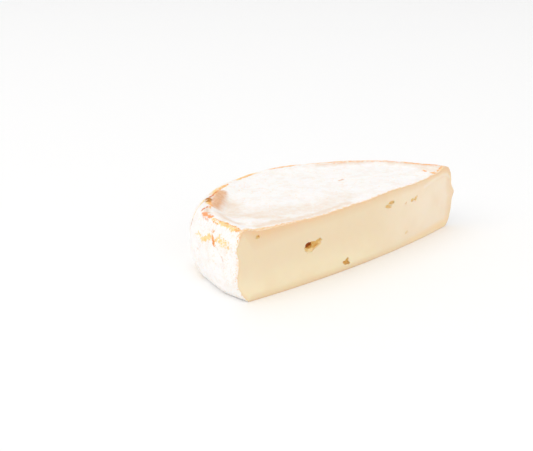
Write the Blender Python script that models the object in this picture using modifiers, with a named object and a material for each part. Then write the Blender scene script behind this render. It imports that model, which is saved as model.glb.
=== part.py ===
# Half of a small washed-rind cheese, cut across its middle and lying on its flat base.
# Metres, +Z up. The cut face looks along -Y and the rind curves away behind it.

import math

import bmesh
import bpy
from mathutils import Matrix, Vector, noise

MM = 0.001

# The whole wheel that the half was cut from, as turned before it slumped
TURNED_RADIUS = 76.0 * MM
WIDEST_HEIGHT = 15.5 * MM
TOP_HEIGHT = 29.2 * MM
BASE_INSET = 6.5 * MM
# Rows of points: round the wheel, in the middle of the top, in its rim (which takes the outer
# part of the top from RIM_START on), down each shoulder of the side and in the base
TURN_STEPS = 176
MIDDLE_STEPS = 10
RIM_START = 0.8
RIM_STEPS = 8
SHOULDER_STEPS = 14
BASE_STEPS = 5

# Round the wheel, by degrees from its right end to its left end: the radius where it is
# widest, how far the crest of the rim stands in from there, and how high the crest is
WIDEST_RADIUS = (
    (0, 77.1 * MM),
    (60, 75.2 * MM),
    (105, 75.4 * MM),
    (138, 77.0 * MM),
    (161, 73.8 * MM),
    (174, 71.4 * MM),
    (180, 71.0 * MM),
)
CREST_INSET = (
    (0, 8.0 * MM),
    (18, 6.4 * MM),
    (60, 8.4 * MM),
    (117, 9.5 * MM),
    (136, 9.3 * MM),
    (149, 4.0 * MM),
    (165, 3.3 * MM),
    (180, 2.4 * MM),
)
CREST_HEIGHT = (
    (0, 30.8 * MM),
    (22, 30.2 * MM),
    (50, 29.8 * MM),
    (110, 30.2 * MM),
    (150, 30.6 * MM),
    (180, 30.0 * MM),
)
# The raised rim runs in from its crest this far, and this much of it is flat
RIM_REACH = 8.6 * MM
RIM_FLAT = 2.6 * MM

# Dips in the top: centre from the wheel's axis, reach and depth
TOP_DIPS = (
    (-29 * MM, 12 * MM, 24 * MM, 1.3 * MM),
    (-45 * MM, 40 * MM, 13 * MM, 1.9 * MM),
    (52 * MM, 18 * MM, 13 * MM, 0.5 * MM),
    (8 * MM, 46 * MM, 20 * MM, 0.6 * MM),
)

# The rind's unevenness
LUMP_SIZE = 21 * MM
LUMP_DEPTH = 0.55 * MM
PUCKER_SIZE = 6.5 * MM
PUCKER_DEPTH = 0.18 * MM

# Upright pleats in the side: degrees round the wheel, lean from base to top in degrees,
# half width in degrees and depth
PLEATS = (
    (175.0, 1.0, 1.8, 0.45 * MM),
    (164.0, -7.0, 1.9, 0.85 * MM),
    (152.0, 3.0, 2.6, 0.55 * MM),
    (141.0, -2.0, 2.2, 0.4 * MM),
    (127.0, 3.0, 3.6, 0.6 * MM),
    (112.0, -3.0, 2.6, 0.4 * MM),
    (97.0, 3.0, 2.8, 0.7 * MM),
    (83.0, 2.0, 2.4, 0.35 * MM),
    (69.0, -4.0, 3.8, 0.55 * MM),
    (54.0, 2.0, 2.4, 0.4 * MM),
    (41.0, 3.0, 3.0, 0.65 * MM),
    (22.0, -2.0, 3.2, 0.45 * MM),
)
# The small lip that stands out of the side at the right end, with a groove above it
LIP_HEIGHT = 16.3 * MM
LIP_HALF_WIDTH = 2.5 * MM
LIP_DEPTH = 2.2 * MM
GROOVE_HEIGHT = 21.2 * MM
GROOVE_HALF_WIDTH = 2.8 * MM
GROOVE_DEPTH = 0.5 * MM
LIP_MIDDLE_DEGREES = 6.0
LIP_REACH_DEGREES = 10.0

# The cut runs a little to one side of the wheel's middle, and bows out between its ends
CUT_OFFSET = 7.5 * MM
CUT_HALF_LENGTH = 68.5 * MM
CUT_BOW = 4.6 * MM
CUT_WAVE = 0.22 * MM
CUT_COLUMNS = 40
CUT_ROWS = 10

# Eyes in the cut face: place along the cut and up, half sizes along, up and in, and lean in degrees
EYES = (
    ("eye_corner", -60.7, 26.2, 1.15, 0.7, 1.1, 10),
    ("eye_large_core", -33.7, 17.0, 2.3, 1.65, 3.4, 12),
    ("eye_large_arm", -29.3, 17.5, 3.6, 1.25, 1.9, 16),
    ("eye_large_foot", -34.9, 14.9, 1.9, 1.1, 0.9, 48),
    ("eye_low", -10.3, 3.7, 2.5, 0.85, 1.7, 2),
    ("eye_low_peak", -9.3, 4.5, 1.2, 1.1, 1.3, 44),
    ("eye_pair_left", 18.2, 22.5, 1.9, 0.9, 1.7, 2),
    ("eye_pair_right", 21.8, 23.6, 1.9, 0.95, 1.4, 18),
    ("eye_right_large", 38.3, 21.1, 1.7, 1.0, 1.6, 10),
    ("eye_right_small", 41.3, 21.6, 1.35, 0.95, 0.9, 30),
    ("eye_pinprick", 33.0, 20.8, 0.75, 0.55, 0.8, 20),
    ("eye_right_low", 34.2, 6.1, 1.4, 0.65, 0.9, 24),
)
EYE_UNEVEN = 0.42
# Splits in the side rind: degrees round the wheel, height, half sizes round, up and in, and lean
SPLITS = (
    ("split_long", 161.6, 22.9, 0.6, 3.9, 1.5, -4),
    ("split_top", 160.6, 27.4, 0.55, 1.2, 1.0, 24),
    ("split_back", 97.5, 18.4, 0.5, 3.4, 1.2, 6),
)

RIND_COLOUR = (0.93, 0.82, 0.70, 1.0)
PASTE_COLOUR = (0.86, 0.71, 0.47, 1.0)


def clear_scene():
    for obj in list(bpy.data.objects):
        bpy.data.objects.remove(obj, do_unlink=True)


def new_collection(name):
    collection = bpy.data.collections.new(name)
    bpy.context.scene.collection.children.link(collection)
    return collection


def new_object(name, mesh, collection):
    obj = bpy.data.objects.new(name, mesh)
    collection.objects.link(obj)
    return obj


def make_material(name, colour, roughness):
    material = bpy.data.materials.new(name)
    material.use_nodes = True
    shader = material.node_tree.nodes["Principled BSDF"]
    shader.inputs["Base Color"].default_value = colour
    shader.inputs["Roughness"].default_value = roughness
    shader.inputs["Metallic"].default_value = 0.0
    return material


def eased(share):
    share = min(max(share, 0.0), 1.0)
    return share * share * (3 - 2 * share)


def bell(distance, reach):
    return math.exp(-((distance / reach) ** 2))


def round_the_wheel(stations, degrees):
    """The value at this angle, eased between the stations. Both halves of the wheel are alike."""
    degrees = min(abs(degrees), 180.0)
    for (start, before), (end, after) in zip(stations, stations[1:]):
        if degrees <= end:
            return before + (after - before) * eased((degrees - start) / (end - start))
    return stations[-1][1]


def turned_profile():
    """Radius and height down the wheel's outside for the Screw, top centre to base centre."""
    crest = TURNED_RADIUS - BASE_INSET
    rim_start = crest * RIM_START
    points = [(rim_start * step / MIDDLE_STEPS, TOP_HEIGHT) for step in range(MIDDLE_STEPS)]
    points += [(rim_start + (crest - rim_start) * step / RIM_STEPS, TOP_HEIGHT) for step in range(RIM_STEPS)]
    rise = TOP_HEIGHT - WIDEST_HEIGHT
    for step in range(SHOULDER_STEPS + 1):
        turn = math.radians(90 - 90 * step / SHOULDER_STEPS)
        points.append((crest + BASE_INSET * math.cos(turn), WIDEST_HEIGHT + rise * math.sin(turn)))
    for step in range(1, SHOULDER_STEPS):
        turn = math.radians(90 * step / (SHOULDER_STEPS - 1))
        points.append((crest + BASE_INSET * math.cos(turn), WIDEST_HEIGHT * (1 - math.sin(turn))))
    points += [(crest * (1 - step / BASE_STEPS), 0.0) for step in range(1, BASE_STEPS + 1)]
    return points


def turned_wheel(collection):
    profile = bpy.data.meshes.new("profile")
    points = [(radius, 0.0, height) for radius, height in turned_profile()]
    edges = [(index, index + 1) for index in range(len(points) - 1)]
    profile.from_pydata(points, edges, [])
    turning = new_object("turning", profile, collection)
    screw = turning.modifiers.new("Turn", "SCREW")
    screw.axis = "Z"
    screw.angle = math.tau
    screw.steps = TURN_STEPS
    screw.render_steps = TURN_STEPS
    screw.use_merge_vertices = True
    screw.merge_threshold = 0.00002
    graph = bpy.context.evaluated_depsgraph_get()
    mesh = bpy.data.meshes.new_from_object(turning.evaluated_get(graph))
    bpy.data.objects.remove(turning, do_unlink=True)
    return mesh


def top_surface(x, y, radius, crest_radius, crest_height):
    """Height of the top at this place: a flat with dips, and a raised rim at its edge."""
    height = TOP_HEIGHT
    for dip_x, dip_y, reach, depth in TOP_DIPS:
        height -= depth * bell(math.hypot(x - dip_x, y - dip_y), reach)
    share = eased((radius - crest_radius + RIM_REACH) / (RIM_REACH - RIM_FLAT))
    return height + (crest_height - height) * share


def side_relief(degrees, height):
    """How far the side stands out of the smooth wheel: pleats go in and the lip stands out."""
    level = min(max(height / TOP_HEIGHT, 0.0), 1.0)
    upright = math.sin(math.pi * level) ** 0.5
    out = 0.0
    for pleat, lean, half_width, depth in PLEATS:
        out -= depth * upright * bell(degrees - pleat - lean * (level - 0.5), half_width)
    lip = LIP_DEPTH * bell(height - LIP_HEIGHT, LIP_HALF_WIDTH)
    groove = GROOVE_DEPTH * bell(height - GROOVE_HEIGHT, GROOVE_HALF_WIDTH)
    return out + (lip - groove) * bell(degrees - LIP_MIDDLE_DEGREES, LIP_REACH_DEGREES)


def settle(point):
    """Moves a point of the turned wheel to its place on the real, uneven one."""
    x, y, z = point
    radius = math.hypot(x, y)
    if radius < 1e-6:
        return Vector((x, y, top_surface(x, y, 0.0, TURNED_RADIUS, TOP_HEIGHT) if z > 0 else 0.0))
    degrees = math.degrees(math.atan2(y, x))
    above = z > WIDEST_HEIGHT
    inset = round_the_wheel(CREST_INSET, degrees) if above else BASE_INSET
    crest = round_the_wheel(WIDEST_RADIUS, degrees) - inset
    crest_height = round_the_wheel(CREST_HEIGHT, degrees)
    turned_crest = TURNED_RADIUS - BASE_INSET
    out_of_crest = max(radius - turned_crest, 0.0) / BASE_INSET
    settled = radius * crest / turned_crest if radius <= turned_crest else crest + inset * out_of_crest
    along_x, along_y = x / radius, y / radius
    place = Vector((along_x * settled, along_y * settled, z))
    lumps = noise.noise(place / LUMP_SIZE + Vector((3.1, 0.7, 5.2)))
    puckers = noise.noise(place / PUCKER_SIZE + Vector((1.3, 8.4, 2.6)))
    relief = LUMP_DEPTH * lumps + PUCKER_DEPTH * puckers
    side = eased(out_of_crest * 2.2)
    if z >= TOP_HEIGHT - 1e-7:
        z = top_surface(place.x, place.y, settled, crest, crest_height)
    elif above:
        up_the_shoulder = (z - WIDEST_HEIGHT) / (TOP_HEIGHT - WIDEST_HEIGHT)
        z = WIDEST_HEIGHT + (crest_height - WIDEST_HEIGHT) * up_the_shoulder
    off_the_base = eased(z / (6 * MM))
    settled += side * (off_the_base * relief * 1.4 + side_relief(abs(degrees), z))
    if above:
        z += relief * (1.0 - 0.6 * side)
    return Vector((along_x * settled, along_y * settled, z))


def cut_place(x):
    """How far behind the wheel's axis the cut face stands at this place along it."""
    share = min(abs(x) / CUT_HALF_LENGTH, 1.3)
    return CUT_OFFSET - CUT_BOW * (1 - share * share)


def cut_face(x, z):
    wave = noise.noise(Vector((x / (17 * MM), 4.2, z / (11 * MM))))
    return cut_place(x) + CUT_WAVE * wave


def as_cutter(obj):
    obj.hide_render = True
    obj.display_type = "WIRE"
    return obj


def make_cut_away(collection, paste):
    """The block that takes the front half away. Its rear face is the shape of the cut."""
    mesh = bpy.data.meshes.new("cut_away")
    block = bmesh.new()
    bmesh.ops.create_grid(block, x_segments=CUT_COLUMNS, y_segments=CUT_ROWS, size=1.0)
    length, low, high = 2.2 * TURNED_RADIUS, -6 * MM, 42 * MM
    for vertex in block.verts:
        x = vertex.co.x * length / 2
        z = (low + high) / 2 + vertex.co.y * (high - low) / 2
        vertex.co = Vector((x, cut_face(x, z), z))
    front = bmesh.ops.extrude_face_region(block, geom=list(block.faces))
    for vertex in (item for item in front["geom"] if isinstance(item, bmesh.types.BMVert)):
        vertex.co.y = -1.3 * TURNED_RADIUS
    bmesh.ops.recalc_face_normals(block, faces=list(block.faces))
    block.to_mesh(mesh)
    block.free()
    mesh.materials.append(paste)
    return as_cutter(new_object("cut_away", mesh, collection))


def make_hollow(name, half_sizes, placing, collection, paste):
    """An uneven egg-shaped hollow, as a closed shape to cut with."""
    mesh = bpy.data.meshes.new(name)
    shape = bmesh.new()
    bmesh.ops.create_icosphere(shape, subdivisions=2, radius=1.0)
    shift = Vector((len(name), half_sizes[0] / MM, 0.5))
    for vertex in shape.verts:
        uneven = 1.0 + EYE_UNEVEN * noise.noise(vertex.co * 1.6 + shift)
        vertex.co = Vector([part * half * uneven for part, half in zip(vertex.co, half_sizes)])
    bmesh.ops.transform(shape, matrix=placing, verts=list(shape.verts))
    shape.to_mesh(mesh)
    shape.free()
    mesh.materials.append(paste)
    return as_cutter(new_object(name, mesh, collection))


def make_eyes(collection, paste):
    for name, along, up, half_along, half_up, half_in, lean in EYES:
        x, z = along * MM, up * MM
        placing = Matrix.Translation((x, cut_place(x), z)) @ Matrix.Rotation(math.radians(-lean), 4, "Y")
        make_hollow(name, (half_along * MM, half_in * MM, half_up * MM), placing, collection, paste)


def make_splits(collection, paste):
    for name, degrees, up, half_round, half_up, half_in, lean in SPLITS:
        radius = round_the_wheel(WIDEST_RADIUS, degrees) - 0.7 * MM
        placing = (
            Matrix.Rotation(math.radians(degrees), 4, "Z")
            @ Matrix.Translation((radius, 0, up * MM))
            @ Matrix.Rotation(math.radians(lean), 4, "X")
        )
        make_hollow(name, (half_in * MM, half_round * MM, half_up * MM), placing, collection, paste)


def cut_with(cheese, name, collection=None, tool=None):
    cut = cheese.modifiers.new(name, "BOOLEAN")
    cut.operation = "DIFFERENCE"
    cut.solver = "EXACT"
    cut.material_mode = "TRANSFER"
    if collection is not None:
        cut.operand_type = "COLLECTION"
        cut.collection = collection
    else:
        cut.object = tool


def centre_on_origin(cheese, carrier):
    """Moves the carrier so that the middle of the cheese's base is the origin."""
    bpy.context.view_layer.update()
    graph = bpy.context.evaluated_depsgraph_get()
    corners = [Vector(corner) for corner in cheese.evaluated_get(graph).bound_box]
    low = [min(corner[axis] for corner in corners) for axis in range(3)]
    high = [max(corner[axis] for corner in corners) for axis in range(3)]
    carrier.location = (-(low[0] + high[0]) / 2, -(low[1] + high[1]) / 2, -low[2])
    print("wheel axis from the origin, mm:", [round(value / MM, 3) for value in carrier.location])


def main():
    clear_scene()
    parts = new_collection("half_cheese")
    cutters = new_collection("cutters")
    hollows = new_collection("hollows")
    rind = make_material("rind", RIND_COLOUR, 0.75)
    paste = make_material("paste", PASTE_COLOUR, 0.5)
    mesh = turned_wheel(parts)
    for vertex in mesh.vertices:
        vertex.co = settle(vertex.co)
    mesh.materials.append(rind)
    cheese = new_object("cheese_half", mesh, parts)
    cut_with(cheese, "Cut", tool=make_cut_away(cutters, paste))
    make_eyes(hollows, paste)
    make_splits(hollows, paste)
    cut_with(cheese, "Hollows", collection=hollows)
    carrier = bpy.data.objects.new("base_centre", None)
    parts.objects.link(carrier)
    for obj in [cheese, *cutters.objects, *hollows.objects]:
        obj.parent = carrier
    centre_on_origin(cheese, carrier)
    mesh.shade_smooth()
    mesh.set_sharp_from_angle(angle=math.radians(50))


main()
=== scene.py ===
import math

import bpy
import bmesh
import numpy as np
from mathutils import Matrix, Vector, noise
from mathutils.kdtree import KDTree


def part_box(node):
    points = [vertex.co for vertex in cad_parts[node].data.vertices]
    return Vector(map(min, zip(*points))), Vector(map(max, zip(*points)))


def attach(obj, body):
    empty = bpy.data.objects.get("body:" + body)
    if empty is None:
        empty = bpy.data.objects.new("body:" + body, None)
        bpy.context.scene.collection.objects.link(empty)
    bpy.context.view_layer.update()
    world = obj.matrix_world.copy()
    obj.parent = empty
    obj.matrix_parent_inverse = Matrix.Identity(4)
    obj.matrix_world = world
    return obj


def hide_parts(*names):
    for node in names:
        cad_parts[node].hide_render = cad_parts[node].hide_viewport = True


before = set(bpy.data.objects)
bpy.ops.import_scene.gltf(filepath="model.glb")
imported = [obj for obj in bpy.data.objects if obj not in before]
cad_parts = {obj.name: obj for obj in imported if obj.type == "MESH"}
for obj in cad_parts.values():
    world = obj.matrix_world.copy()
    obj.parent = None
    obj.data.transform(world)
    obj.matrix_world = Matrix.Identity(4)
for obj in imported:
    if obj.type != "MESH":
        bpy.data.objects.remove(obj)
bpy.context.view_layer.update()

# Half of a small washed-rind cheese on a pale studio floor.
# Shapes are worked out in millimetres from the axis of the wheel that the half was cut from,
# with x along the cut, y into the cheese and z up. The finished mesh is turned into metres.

mm = 0.001
farAway = 99.0

# The wheel. Stations go round it by degrees, from the right end of the cut to its left end.
wheel = {
    "axisFromMiddle": (-3.601, -39.21),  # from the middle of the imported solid's box
    "widestHeight": 15.5,
    "topHeight": 29.2,
    "baseInset": 6.5,
    "widestRadius": (
        (0, 77.1), (60, 75.2), (105, 75.4), (138, 77), (161, 73.8), (174, 71.4), (180, 71),
    ),
    "crestInset": (
        (0, 8), (18, 6.4), (60, 8.4), (117, 9.5), (136, 9.3), (149, 4), (165, 3.3), (180, 2.4),
    ),
    "crestHeight": ((0, 30.8), (22, 30.2), (50, 29.8), (110, 30.2), (150, 30.6), (180, 30)),
    "rimReach": 8.6,
    "rimFlat": 2.6,
    # dips in the top: x, y, reach, depth
    "dips": ((-29, 12, 24, 1.3), (-45, 40, 13, 1.9), (52, 18, 13, 0.5), (8, 46, 20, 0.6)),
}

# How uneven the rind is
rind = {
    "lumpSize": 21.0,
    "lumpDepth": 0.55,
    "puckerSize": 6.5,
    "puckerDepth": 0.2,
    "sideShare": 1.5,  # lumps stand out this much more on the side
    "sideSpread": 2.2,  # how soon the side takes over from the top
    "lumpFoot": 6.0,  # lumps and fine relief fade out below these heights
    "fineFoot": 4.0,
    "shoulderLoss": 0.6,  # how much less the lumps lift the shoulder than the top
    "wrinkleWidth": 1.7,  # fine upright wrinkles in the side
    "wrinkleLength": 9.0,
    "wrinkleDepth": 0.17,
    "wrinkleEnd": (0.9, 0.5),  # none where it faces up this much, all where this much less
    "grainSize": 1.25,
    "grainDepth": 0.085,
    "crumbleSize": 2.1,  # ragged edge of the rind along the cut
    "crumbleFine": 0.9,
    "crumbleDepth": 0.13,
    "crumbleAtLeft": 0.34,
    "crumbleReach": 1.7,
    "crumbleEnd": (5.1, 0.5),  # none beyond this distance, or below this height
    "crumbleLeft": (-62.0, 5.0),  # where the rougher left end starts, and over how many mm
    "crumbleTop": (29.0, 3.0),
    "ruggedRim": (134, 142, 150, 156, 162, 168, 173.6),  # the stretch of rim that is worn rough
    "ruggedSize": 1.2,
    "ruggedDepth": 0.45,
    "ruggedReach": 1.8,
    # upright pleats: degrees round, lean from base to top, half width in degrees, depth
    "pleats": (
        (175, 1, 1.8, 0.45), (164, -7, 1.9, 0.85), (152, 3, 2.6, 0.55),
        (141, -2, 2.2, 0.4), (127, 3, 3.6, 0.6), (112, -3, 2.6, 0.4),
        (97, 3, 2.8, 0.7), (83, 2, 2.4, 0.35), (69, -4, 3.8, 0.55),
        (54, 2, 2.4, 0.4), (41, 3, 3, 0.65), (22, -2, 3.2, 0.45),
    ),
    # small lip at the right end with a groove above it, and the uneven left end:
    # degrees, reach in degrees, height, half height, how far out
    "bulges": (
        (6, 10, 16.3, 2.5, 2.2), (6, 10, 21.2, 2.8, -0.5),
        (176, 5, 23.2, 2.4, 0.85), (176, 5, 16, 3, -0.85), (176, 4, 9, 2.4, 0.4),
    ),
}

# The cut face
paste = {
    "offset": 7.5,
    "halfLength": 68.5,
    "bow": 4.6,
    "bowReach": 1.3,  # the bow goes on this far past its ends
    "wave": 0.22,
    "waveSize": (17.0, 1.0, 11.0),
    "edgeRound": 0.11,  # how far the knife's edge has worn back
    "softSize": 3.2,  # faint unevenness left by the knife
    "softDepth": 0.05,
    "softEdge": (0.5, 2.0),  # it starts this far inside the edge, and grows over this many mm
    # faint ridge under the rind at the right: points in x and z, half width, height
    "ridge": ((48.0, 24.6), (50.0, 25.1), (58.3, 26.6), (64.8, 26.8), (69.5, 26.3), (72.7, 24.1)),
    "ridgeWidth": 0.7,
    "ridgeHeight": 0.22,
}

# Points round the rind, down the side, across the top, under the base, and from the crest down to
# the corner of the cut's own grid
rows = {"round": 384, "side": 72, "top": 84, "base": 6, "corner": 12}
rimTurn = 80.0  # where the rim's outer edge lies, with its crest at 90
closeSteps = (0.18, 0.45, 0.85)
ringSteps = (0.2, 0.5)
rindLength = 235.0  # round the side, for the spacing of its points
endSearch = ((-20.0, 60.0), (200.0, 120.0))  # degrees between which the cut meets the side
halvings = 26
edgeRounds = 4  # times that the height of the cut's edge is worked out anew
edgeStep = 3  # points to either side that give the edge its direction
edgeBlur = 4  # points to either side over which its look is evened out
edgeQuarters = (0.0, 0.25, 0.5, 0.75)

# Eyes in the paste: x, z, half sizes along, up and in, lean in degrees
eyes = {
    "eye_corner": (-60.9, 26.4, 1.2, 0.85, 0.6, 10),
    "eye_large_core": (-33.3, 16.6, 2.7, 1.5, 3.2, 4),
    "eye_large_arm": (-30.6, 16.3, 3.9, 1.85, 1.25, 10),
    "eye_large_tip": (-28.3, 17.3, 2.4, 1.05, 0.85, 24),
    "eye_large_foot": (-34.3, 15.4, 1.6, 1.4, 0.9, -8),
    "eye_large_apron": (-33.0, 15.0, 2.5, 1.8, 0.42, -2),
    "eye_low": (-10.4, 3.4, 2.7, 1.0, 1.35, -17),
    "eye_low_peak": (-9.9, 4.4, 1.3, 1.15, 1.1, 14),
    "eye_pair_left": (18.6, 22.3, 2.5, 0.95, 0.85, -10),
    "eye_pair_right": (20.9, 23.6, 2.5, 0.85, 0.95, 2),
    "eye_right_large": (37.9, 21.2, 1.6, 0.9, 0.75, 10),
    "eye_right_small": (40.7, 21.4, 1.8, 1.0, 0.6, 35),
    "eye_pinprick": (32.4, 20.9, 0.85, 0.55, 0.4, 20),
    "eye_right_low": (33.8, 6.5, 1.3, 0.65, 0.36, 20),
}
eyeWalls = {"uneven": 0.3, "unevenScale": 1.6, "ragged": 0.14, "raggedScale": 5.5}

# Splits in the side rind: line of degrees and height, half width, depth
splits = {
    "split_long": (
        ((159.9, 25), (160.1, 24.2), (160.8, 22.7), (161.1, 21.3), (161.9, 19.5)), 0.55, 0.55,
    ),
    "split_top": (((160.9, 26.9), (160.4, 26.2), (160, 25.6)), 0.4, 0.35),
    "split_back": (((97.9, 21.6), (97.3, 19.4), (97.6, 17.2), (96.9, 15.2)), 0.5, 0.7),
}

splitShape = {
    "steps": 24,
    "endShare": 0.02,  # how far in from its ends the taper is read
    "waver": 0.7,
    "waverScale": 9.0,
    # across the split, from lip to lip: share of the half width, share of the depth, mm outward
    "walls": ((1.3, 0.0, 0.8), (0.9, -0.2, 0.0), (0.0, -1.0, 0.0), (-0.9, -0.2, 0.0), (-1.3, 0.0, 0.8)),
}

# Soft creases pressed into the side, in the same way
creases = {
    "belowSplit": (((161.9, 19.4), (164.0, 17.8), (166.2, 16.4), (167.4, 14.4)), 1.1, 0.5),
    "besideSplit": (((157.6, 25.5), (156.8, 20.5), (158.2, 15.5)), 1.5, 0.3),
    "lowLeft": (((170.4, 12.5), (168.6, 8.0), (169.5, 4.5)), 1.3, 0.35),
    "farLeft": (((150.6, 22.5), (149.2, 16.5), (150.8, 10.5)), 1.6, 0.35),
    "back": (((96.9, 15.0), (98.4, 11.0), (97.2, 7.0)), 1.2, 0.4),
}


def eased(share):
    share = np.clip(share, 0.0, 1.0)
    return share * share * (3 - 2 * share)


def bell(distance, reach):
    return np.exp(-((distance / reach) ** 2))


def place(x, y, z):
    return np.stack(np.broadcast_arrays(x, y, z), axis=-1).astype(float)


def roundWheel(stations, degrees):
    degrees = np.minimum(np.abs(degrees), 180.0)
    value = np.full(np.shape(degrees), float(stations[-1][1]))
    for (start, before), (end, after) in reversed(list(zip(stations, stations[1:]))):
        between = before + (after - before) * eased((degrees - start) / (end - start))
        value = np.where(degrees <= end, between, value)
    return value


def noiseAt(spots, size, shift):
    spots = spots / np.array(size) + np.array(shift)
    values = [noise.noise(spot) for spot in spots.reshape(-1, 3).tolist()]
    return np.array(values).reshape(spots.shape[:-1])


def broadRelief(spots):
    lumps = noiseAt(spots, rind["lumpSize"], (3.1, 0.7, 5.2))
    puckers = noiseAt(spots, rind["puckerSize"], (1.3, 8.4, 2.6))
    return rind["lumpDepth"] * lumps + rind["puckerDepth"] * puckers


def cutPlace(x):
    share = np.minimum(np.abs(x) / paste["halfLength"], paste["bowReach"])
    return paste["offset"] - paste["bow"] * (1 - share * share)


def cutFace(x, z):
    wave = noiseAt(place(x, 0.0, z), paste["waveSize"], (0.0, 4.2, 0.0))
    return cutPlace(x) + paste["wave"] * wave


def crestRadius(degrees):
    return roundWheel(wheel["widestRadius"], degrees) - roundWheel(wheel["crestInset"], degrees)


def topHeightAt(x, y):
    radius = np.hypot(x, y)
    degrees = np.degrees(np.arctan2(y, x))
    crest = crestRadius(degrees)
    height = np.full(np.shape(radius), wheel["topHeight"])
    for dipX, dipY, reach, depth in wheel["dips"]:
        height = height - depth * bell(np.hypot(x - dipX, y - dipY), reach)
    share = eased((radius - crest + wheel["rimReach"]) / (wheel["rimReach"] - wheel["rimFlat"]))
    height = height + (roundWheel(wheel["crestHeight"], degrees) - height) * share
    return height + broadRelief(place(x, y, wheel["topHeight"]))


def sideRelief(degrees, height):
    level = np.clip(height / wheel["topHeight"], 0.0, 1.0)
    upright = np.sqrt(np.maximum(np.sin(math.pi * level), 0.0))
    out = np.zeros(np.shape(height))
    for pleat, lean, halfWidth, depth in rind["pleats"]:
        out = out - depth * upright * bell(degrees - pleat - lean * (level - 0.5), halfWidth)
    for middle, reach, level, halfHeight, outward in rind["bulges"]:
        out = out + outward * bell(degrees - middle, reach) * bell(height - level, halfHeight)
    return out


# A point of the side. turn is 90 at the crest, 0 where the wheel is widest and -90 at the base.
def sidePoint(degrees, turn):
    degrees, turn = np.broadcast_arrays(degrees, turn)
    above = turn > 0
    outward = np.cos(np.radians(turn))
    upward = np.sin(np.radians(np.abs(turn)))
    inset = np.where(above, roundWheel(wheel["crestInset"], degrees), wheel["baseInset"])
    radius = roundWheel(wheel["widestRadius"], degrees) - inset * (1 - outward)
    middle, rise = wheel["widestHeight"], wheel["topHeight"] - wheel["widestHeight"]
    z = np.where(above, middle + rise * upward, middle * (1 - upward))
    alongX, alongY = np.cos(np.radians(degrees)), np.sin(np.radians(degrees))
    relief = broadRelief(place(alongX * radius, alongY * radius, z))
    realRise = roundWheel(wheel["crestHeight"], degrees) - middle
    z = np.where(above, middle + realRise * upward, z)
    side = eased(outward * rind["sideSpread"])
    lumps = eased(z / rind["lumpFoot"]) * relief * rind["sideShare"]
    radius = radius + side * (lumps + sideRelief(degrees, z))
    z = np.where(above, z + relief * (1.0 - rind["shoulderLoss"] * side), z)
    return place(alongX * radius, alongY * radius, z)


# How many degrees round the wheel each height of the side meets the cut, searched by halving
def whereCut(turns, front, back):
    front = np.full(turns.shape, float(front))
    back = np.full(turns.shape, float(back))
    for _ in range(halvings):
        middle = (front + back) / 2
        spots = sidePoint(middle, turns)
        behind = spots[:, 1] > cutFace(spots[:, 0], spots[:, 2])
        back = np.where(behind, middle, back)
        front = np.where(behind, front, middle)
    return back


def evenShares(count, length, close):
    first = [step / length for step in close]
    middle = np.linspace(first[-1], 1 - first[-1], count - 2 * len(close) + 1).tolist()
    ends = first[:-1]
    return np.array([0.0] + ends + middle + [1 - share for share in reversed(ends)] + [1.0])


def runShares(line):
    lengths = np.append(0.0, np.cumsum(np.linalg.norm(np.diff(line, axis=0), axis=1)))
    return lengths / lengths[-1]


def addPoints(parts, grid):
    start = sum(len(part) for part in parts)
    parts.append(grid.reshape(-1, 3))
    return start + np.arange(grid[..., 0].size).reshape(grid.shape[:-1])


def quads(grid):
    corners = np.stack([grid[:-1, :-1], grid[1:, :-1], grid[1:, 1:], grid[:-1, 1:]], axis=-1)
    faces = []
    for face in corners.reshape(-1, 4).tolist():
        kept = [index for spot, index in enumerate(face) if index != face[spot - 1]]
        if len(kept) > 2:
            faces.append(kept)
    return faces


def makeSide(parts, shares):
    turns = 90 - 180 * np.arange(rows["side"] + 1) / rows["side"]
    rightEnd, leftEnd = [whereCut(turns, front, back) for front, back in endSearch]
    degrees = rightEnd + (leftEnd - rightEnd) * shares[:, None]
    grid = sidePoint(degrees, np.broadcast_to(turns, degrees.shape))
    return grid, addPoints(parts, grid)


# Fans from the crest to the cut's edge, over the top or under the base
def makeFan(parts, outer, outerIndex, shares, count, heightAt):
    edgeX = outer[0, 0] + (outer[-1, 0] - outer[0, 0]) * shares
    edgeZ = np.full(edgeX.shape, outer[0, 2])
    for _ in range(edgeRounds):
        edgeY = cutFace(edgeX, edgeZ)
        edgeZ = heightAt(edgeX, edgeY)
    reach = np.hypot(outer[:, 0] - edgeX, outer[:, 1] - edgeY)
    close = np.minimum(closeSteps[1] / np.maximum(reach, 1e-6), 2 / count)
    even = np.arange(count - 1) / (count - 2)
    steps = np.concatenate([
        np.zeros((len(reach), 1)),
        close[:, None] * closeSteps[0] / closeSteps[1],
        close[:, None] + (1 - close[:, None]) * even,
    ], axis=1)
    x = edgeX[:, None] + (outer[:, 0] - edgeX)[:, None] * steps
    y = edgeY[:, None] + (outer[:, 1] - edgeY)[:, None] * steps
    inner = place(x, y, heightAt(x, y))[1:-1, :-1]
    index = np.empty(steps.shape, int)
    index[1:-1, :-1] = addPoints(parts, inner)
    index[:, -1] = outerIndex
    index[0], index[-1] = outerIndex[0], outerIndex[-1]
    return index


# Directions in the cut's plane that point in from each point of its edge
def inwardFrom(edge):
    along = np.roll(edge, -edgeStep, axis=0) - np.roll(edge, edgeStep, axis=0)
    inward = place(-along[:, 2], 0.0, along[:, 0])
    return inward / np.linalg.norm(inward, axis=1)[:, None]


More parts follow.
